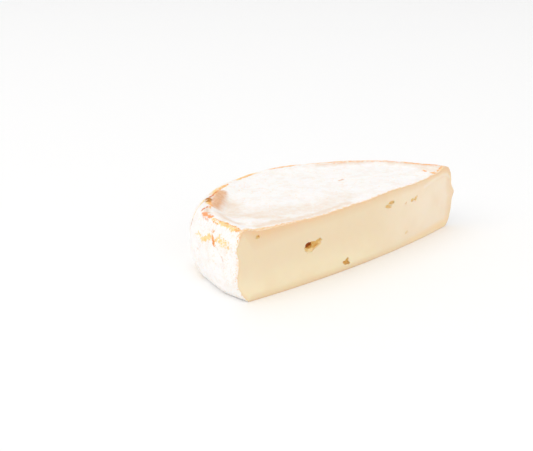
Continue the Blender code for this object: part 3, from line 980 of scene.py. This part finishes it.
# each pattern's size, detail, roughness, and the range of it that shows
rindNoise = {
    "smudges": (4.5, 4.0, 0.62, 0.42, 0.72),
    "clusters": (5.0, 2.0, 0.5, 0.36, 0.6, (0.05, 0.02, 0.0)),
    "deeper": (1.3, 3.0, 0.55, 0.43, 0.6),
    "edgePale": (0.9, 3.0, 0.55, 0.42, 0.58),
}
smudgeShare = 0.75
rimLineShare = 0.85
speckles = {"grain": (0.75, 3.0, 0.7), "range": (0.53, 0.68), "share": 0.66, "freckleLift": 0.07}
rindBody = {
    "dull": (0.7, 0.92), "dullSize": 2.0, "shine": 0.25,
    "glow": 0.12, "glowTint": (1.0, 0.6, 0.4), "glowDepth": 1.2,
    "powder": (0.7, 5.0, 0.65), "powderStrength": 0.6, "powderDepth": 0.3,
}


def makeRindSkin():
    surface, tree, shader = newSurface("bloomyRind")
    smudges = times(tree, pattern(tree, *rindNoise["smudges"]), smudgeShare)
    colour = blend(tree, smudges, rindLooks["bloom"], rindLooks["smudge"])
    freckles = number(tree, "freckles")
    clusters = sums(tree, "MAXIMUM", pattern(tree, *rindNoise["clusters"]), freckles)
    lift = times(tree, freckles, speckles["freckleLift"])
    grain = between(tree, sums(tree, "ADD", flecks(tree, *speckles["grain"]), lift), *speckles["range"])
    speckle = times(tree, grain, times(tree, clusters, speckles["share"]))
    colour = blend(tree, speckle, colour, rindLooks["speckle"])
    rim = times(tree, worn(tree, "rimLine", *rimLineWear), rimLineShare)
    colour = blend(tree, rim, colour, rindLooks["orange"])
    for kind, *wear in rindMarks:
        over = rindLooks[kind]
        if kind + "Deep" in rindLooks:
            over = blend(tree, pattern(tree, *rindNoise["deeper"]), over, rindLooks[kind + "Deep"])
        colour = blend(tree, worn(tree, kind, *wear), colour, over)
    stripe = pattern(tree, *rindNoise["edgePale"])
    stripe = blend(tree, stripe, rindLooks["edgePale"], rindLooks["edge"])
    colour = blend(tree, worn(tree, "edgeStripe", *edgeWear), colour, stripe)
    finishSurface(tree, shader, colour, rindBody)
    return surface


pasteLooks = {
    "cream": (240, 220, 186),
    "creamWarm": (239, 216, 181),
    "creamPale": (248, 232, 198),
    # paler towards the right end: partly painted light from that side, partly the paste's own pinker
    # tone there
    "creamRight": (248, 230, 205),
    "tanBand": (237, 209, 171),
    "warmBand": (236, 199, 154),
    "glowBand": (250, 222, 182),
    "rindLine": (235, 200, 162),
    # painted highlight
    "paintedSheen": (251, 239, 222),
    "eyeRim": (243, 214, 156),
    "eyeOchre": (232, 190, 112),
    "eyeAmber": (224, 164, 80),
    "eyeBrown": (184, 102, 34),
}
# where the paste turns paler towards the foot and the right, in mm, and where its edge band shows
pasteRanges = {
    "foot": (17.0, 3.0),
    "right": (-8.0, 48.0),
    "band": (0.0, 0.7),
    "warmBand": (0.55, 1.05),
    "rindLine": (0.75, 0.05),
}
# how deep in an eye each tint starts and is full, in mm. The rim and ochre tints are the eye walls' own
# colour; the amber and brown deeper in are painted shade.
eyeDepths = {
    "eyeRim": (0.0, 0.35), "eyeOchre": (0.3, 0.9), "eyeAmber": (0.9, 1.5), "eyeBrown": (1.5, 2.1),
}
clouds = (14.0, 2.0, 0.55, 0.35, 0.7)
cloudShare = 0.35
# how strongly the painted highlight shows
paintedSheenShare = 0.5
lineFray = {"size": 1.0, "depth": 0.6}
pasteBody = {
    "dull": (0.42, 0.58), "dullSize": 3.0, "shine": 0.35,
    "glow": 0.3, "glowTint": (1.0, 0.55, 0.25), "glowDepth": 3.0,
    "powder": (1.1, 4.0, 0.6), "powderStrength": 0.25, "powderDepth": 0.2,
}


def makePasteSkin():
    surface, tree, shader = newSurface("creamPaste")
    places = addNode(tree, "TexCoord", {}).outputs["Object"]
    where = addNode(tree, "SeparateXYZ", {0: places}).outputs
    foot, right = [
        between(tree, where[axis], start * mm, end * mm)
        for axis, (start, end) in (("Z", pasteRanges["foot"]), ("X", pasteRanges["right"]))
    ]
    colour = blend(tree, foot, pasteLooks["cream"], pasteLooks["creamPale"])
    # paler towards the right: partly painted light, partly the paste's pinker tone
    colour = blend(tree, right, colour, pasteLooks["creamRight"])
    cloudy = times(tree, pattern(tree, *clouds), cloudShare)
    colour = blend(tree, cloudy, colour, pasteLooks["creamWarm"])
    band, glow = number(tree, "edgeBand"), number(tree, "edgeGlow")
    under = blend(tree, glow, pasteLooks["tanBand"], pasteLooks["glowBand"])
    colour = blend(tree, between(tree, band, *pasteRanges["band"], "LINEAR"), colour, under)
    warm = between(tree, band, *pasteRanges["warmBand"])
    warm = times(tree, warm, sums(tree, "SUBTRACT", 1.0, glow))
    colour = blend(tree, warm, colour, pasteLooks["warmBand"])
    # painted highlight: a pale line just above the ridge at the right
    paintedSheen = times(tree, number(tree, "paintedSheen"), paintedSheenShare)
    colour = blend(tree, paintedSheen, colour, pasteLooks["paintedSheen"])
    fray = sums(tree, "SUBTRACT", flecks(tree, lineFray["size"]), 0.5)
    fray = times(tree, fray, lineFray["depth"])
    frayed = sums(tree, "ADD", number(tree, "fromEdge"), fray)
    line = between(tree, frayed, *pasteRanges["rindLine"])
    line = times(tree, line, number(tree, "edgeTone"))
    colour = blend(tree, line, colour, pasteLooks["rindLine"])
    # darker deeper in the eyes: partly their own ochre, partly painted shade
    depth = number(tree, "depthIn")
    for name, (start, full) in eyeDepths.items():
        colour = blend(tree, between(tree, depth, start, full, "LINEAR"), colour, pasteLooks[name])
    finishSurface(tree, shader, colour, pasteBody)
    return surface


splitLooks = {"orange": (248, 182, 112), "deep": (238, 154, 80), "roughness": 0.6}
splitPattern = (1.2, 3.0, 0.55, 0.35, 0.65)


def makeSplitSkin():
    surface, tree, shader = newSurface("splitRind")
    deeper = pattern(tree, *splitPattern)
    colour = blend(tree, deeper, splitLooks["orange"], splitLooks["deep"])
    feed(tree, shader.inputs["Base Color"], colour)
    shader.inputs["Roughness"].default_value = splitLooks["roughness"]
    return surface


sharpFrom = 48.0  # degrees between faces


def makeCheese():
    rindSkin, pasteSkin, splitSkin = makeRindSkin(), makePasteSkin(), makeSplitSkin()
    points, rindFaces, cutFaces, loop = makeSkin()
    print("skin:", len(points), "points,", len(rindFaces) + len(cutFaces), "faces")
    kinds = [0] * len(rindFaces) + [1] * len(cutFaces)
    mesh = meshFrom("cheeseHalf", points, rindFaces + cutFaces, (rindSkin, pasteSkin, splitSkin), kinds)
    edge = points[loop]
    onPaste = np.zeros(len(points), bool)
    onPaste[np.unique(np.concatenate([np.array(face) for face in cutFaces]))] = True
    onPaste[loop] = False
    roughen(mesh, onPaste, edge)
    piece = bpy.data.objects.new("cheeseHalf", mesh)
    bpy.context.scene.collection.objects.link(piece)
    print("relief done")
    cutHollows(piece, makeHollows(pasteSkin, splitSkin))
    print("hollows cut:", sum(len(face.vertices) - 2 for face in piece.data.polygons), "triangles")
    edge = readVectors(mesh.vertices, "co")[loop]
    paintMarks(piece.data, edge)
    low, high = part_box("cheese_half")
    middle = (low + high) / 2
    fromMiddle = wheel["axisFromMiddle"]
    axis = (middle.x + fromMiddle[0] * mm, middle.y + fromMiddle[1] * mm, low.z)
    piece.data.transform(Matrix.Translation(axis) @ Matrix.Scale(mm, 4))
    piece.data.shade_smooth()
    piece.data.set_sharp_from_angle(angle=math.radians(sharpFrom))
    piece.data.update()
    return piece, Vector(axis)


studio = {
    "cameraFromAxis": (-324.685, -255.388, 151.2),
    "heading": 45.73,
    "lookDown": 17.90,
    "focalPixels": 1000.0,
    "photoWidth": 533.0,
    "sensorWidth": 36.0,
    "clipStart": 0.01,
    "floor": tint(254, 254, 254),
    "floorRoughness": 0.6,
    "floorReach": 6.0,
    "air": (1.0, 1.0, 1.0, 1.0),
    "airStrength": 0.8,
    # lamps: place, target, size, power, colour
    "lamps": {
        "windowLeft": ((-2.25, 0.30, 2.25), (0.0, 0.0, 0.01), 2.7, 22.4, (1.0, 0.99, 0.97)),
        "softFront": ((-0.45, -2.85, 1.65), (0.0, 0.0, 0.01), 2.7, 11.3, (1.0, 0.98, 0.96)),
        "overhead": ((0.3, 0.9, 3.3), (0.0, 0.0, 0.0), 3.0, 8.2, (1.0, 1.0, 1.0)),
    },
}


def makeStudio(axis):
    scene = bpy.context.scene
    scene.view_settings.view_transform = "Standard"
    mesh = bpy.data.meshes.new("studioFloor")
    reach = studio["floorReach"]
    corners = [(x * reach, y * reach, 0.0) for x, y in ((-1, -1), (1, -1), (1, 1), (-1, 1))]
    mesh.from_pydata(corners, [], [(0, 1, 2, 3)])
    floor = bpy.data.objects.new("studioFloor", mesh)
    scene.collection.objects.link(floor)
    surface, _, shader = newSurface("paleFloor")
    shader.inputs["Base Color"].default_value = studio["floor"]
    shader.inputs["Roughness"].default_value = studio["floorRoughness"]
    mesh.materials.append(surface)

    world = bpy.data.worlds.new("studioAir")
    world.use_nodes = True
    air = world.node_tree.nodes["Background"]
    air.inputs["Color"].default_value = studio["air"]
    air.inputs["Strength"].default_value = studio["airStrength"]
    scene.world = world

    for name, (spot, target, width, power, colour) in studio["lamps"].items():
        lamp = bpy.data.lights.new(name, "AREA")
        lamp.shape = "DISK"
        lamp.size = width
        lamp.energy = power
        lamp.color = colour
        holder = bpy.data.objects.new(name, lamp)
        holder.location = spot
        holder.rotation_euler = (Vector(target) - Vector(spot)).to_track_quat("-Z", "Y").to_euler()
        scene.collection.objects.link(holder)

    camera = bpy.data.cameras.new("camera")
    camera.sensor_width = studio["sensorWidth"]
    camera.lens = camera.sensor_width * studio["focalPixels"] / studio["photoWidth"]
    camera.clip_start = studio["clipStart"]
    holder = bpy.data.objects.new("camera", camera)
    holder.location = axis + Vector(studio["cameraFromAxis"]) * mm
    tilt, heading = math.radians(90 - studio["lookDown"]), math.radians(-studio["heading"])
    holder.rotation_euler = (tilt, 0.0, heading)
    scene.collection.objects.link(holder)
    scene.camera = holder


cheese, axis = makeCheese()
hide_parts("cheese_half")
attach(cheese, "root")
makeStudio(axis)
print("studio ready")
